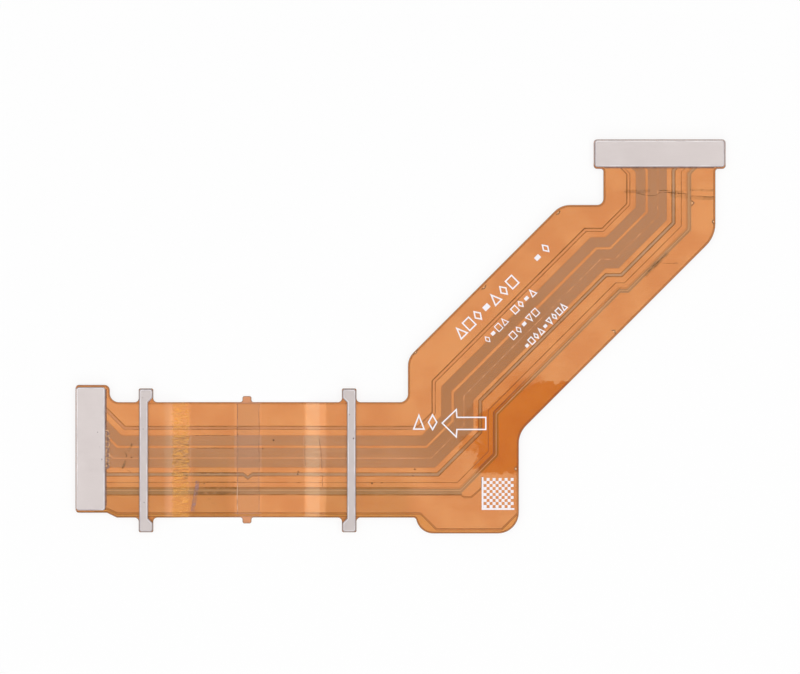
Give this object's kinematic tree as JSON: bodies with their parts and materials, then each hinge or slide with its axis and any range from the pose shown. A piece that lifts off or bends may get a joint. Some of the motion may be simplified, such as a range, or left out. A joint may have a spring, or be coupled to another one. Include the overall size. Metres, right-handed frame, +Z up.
{
  "type": "flat flex cable",
  "caption": "Flexible printed circuit with a slanted arm, a board-to-board plug and steel plate at each end, and steel bars across its straight strip.",
  "frame": {"origin": "middle of the box in X and Y, at the surface that the cable lies on", "axes": "+X along the length from the left plug to the right plug, +Y across towards the right plug, +Z up, away from the plugs' mating sides"},
  "size_m": [0.0716, 0.0434, 0.001],
  "materials": {
    "base_film": "smooth polyimide film",
    "back_cover_film": "smooth polyimide cover film",
    "front_cover_film": "thin see-through amber cover film, glossy",
    "band_film": "thin see-through film strip",
    "stiffener_steel": "satin stainless sheet",
    "bar_steel": "satin stainless sheet",
    "copper_pour": "copper foil under amber film",
    "copper_trace": "etched copper under amber film",
    "plug_moulding": "moulded liquid-crystal polymer",
    "contact_gold": "gold flash",
    "hold_down_metal": "plated steel"
  },
  "bodies": {
    "root": {"base_film": "base_film", "back_cover_film": "back_cover_film", "front_cover_film": "front_cover_film", "centre_band": "band_film", "left_stiffener_plate": "stiffener_steel", "right_stiffener_plate": "stiffener_steel", "left_bar": "bar_steel", "right_bar": "bar_steel", "upper_ground_pour": "copper_pour", "power_rail_1": "copper_pour", "power_rail_2": "copper_pour", "power_rail_3": "copper_pour", "power_rail_4": "copper_pour", "power_rail_5": "copper_pour", "lower_ground_pour": "copper_pour", "guard_trace_upper": "copper_trace", "signal_bundle_1": "copper_trace", "signal_bundle_2": "copper_trace", "divider_trace": "copper_trace", "signal_bundle_3": "copper_trace", "guard_trace_middle": "copper_trace", "guard_trace_lower": "copper_trace", "trace_pair": "copper_trace", "edge_ground": "copper_trace", "left_plug_housing": "plug_moulding", "left_contact_row_a": "contact_gold", "left_contact_row_b": "contact_gold", "left_hold_downs": "hold_down_metal", "right_plug_housing": "plug_moulding", "right_contact_row_a": "contact_gold", "right_contact_row_b": "contact_gold", "right_hold_downs": "hold_down_metal"}
  },
  "joints": []
}
